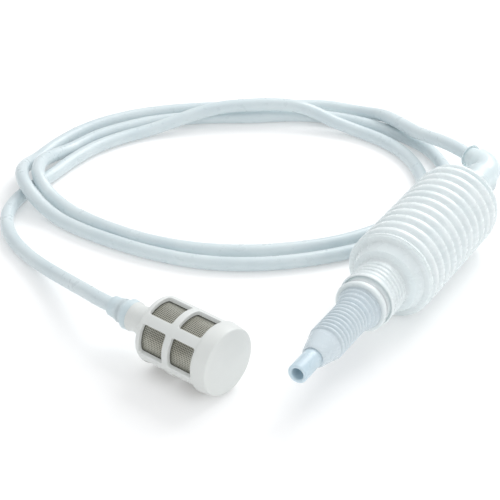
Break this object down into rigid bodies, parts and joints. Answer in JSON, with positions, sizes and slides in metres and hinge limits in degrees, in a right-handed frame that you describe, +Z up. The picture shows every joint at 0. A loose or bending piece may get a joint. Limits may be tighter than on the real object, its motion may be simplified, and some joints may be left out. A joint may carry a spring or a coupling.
{
  "type": "gravel vacuum siphon",
  "caption": "Hand-pump siphon with ribbed squeeze bulb, check valves, flexible nozzle, bent inlet, soft hose in loose loops and a mesh inlet strainer.",
  "frame": {"origin": "under the middle of the pump, on the surface that the object lies on", "axes": "+X along the pump towards its nozzle, +Z up; the hose loops lie on the -Y side"},
  "size_m": [0.3197, 0.2886, 0.05],
  "materials": {
    "bulb": "blow-moulded translucent polyethylene, milky",
    "spout": "translucent polyethylene",
    "nozzle": "translucent polyethylene tube",
    "elbow": "smooth translucent moulding",
    "hose": "soft translucent PVC tube",
    "adapter": "soft translucent rubber sleeve",
    "collar": "white polypropylene",
    "valve": "white polypropylene",
    "gasket": "pale silicone",
    "strainer_plastic": "white polypropylene, satin",
    "strainer_mesh": "fine woven stainless mesh"
  },
  "bodies": {
    "pump_rear": {"pump_body": "bulb", "inlet_valve_seat": "valve", "inlet_valve_cage": "valve", "inlet_elbow": "elbow", "hose": "hose", "hose_adapter": "adapter", "strainer_nipple": "strainer_plastic", "strainer_cage": "strainer_plastic", "strainer_mesh": "strainer_mesh"},
    "pump_front": {"neck_gasket": "gasket", "flexible_spout": "spout", "outlet_valve_seat": "valve", "outlet_valve_cage": "valve"},
    "collar": {"screw_collar": "collar"},
    "nozzle": {"nozzle_tip": "nozzle"},
    "inlet_ball": {"inlet_valve_ball": "valve"},
    "outlet_ball": {"outlet_valve_ball": "valve"},
    "cap": {"strainer_cap": "strainer_plastic"}
  },
  "joints": [
    {"name": "bulb_squeeze", "type": "slide", "parent": "pump_rear", "child": "pump_front", "axis": [-1, 0, 0], "range_m": [0, 0.025], "stiffness_N_per_m": 400, "deforming": ["pump_body"]},
    {"name": "collar_turn", "type": "hinge", "parent": "pump_front", "child": "collar", "pos_m": [0.0535, 0, 0.025], "axis": [1, 0, 0], "range_deg": [0, 360]},
    {"name": "spout_bend", "type": "hinge", "parent": "pump_front", "child": "nozzle", "pos_m": [0.082, 0, 0.025], "axis": [0, 0, 1], "range_deg": [-30, 30], "deforming": ["flexible_spout"]},
    {"name": "inlet_ball_lift", "type": "slide", "parent": "pump_rear", "child": "inlet_ball", "axis": [1, 0, 0], "range_m": [0, 0.003]},
    {"name": "outlet_ball_lift", "type": "slide", "parent": "pump_front", "child": "outlet_ball", "axis": [1, 0, 0], "range_m": [0, 0.003]},
    {"name": "cap_pull", "type": "slide", "parent": "pump_rear", "child": "cap", "axis": [0.1736, 0.9848, 0], "range_m": [0, 0.012]}
  ]
}
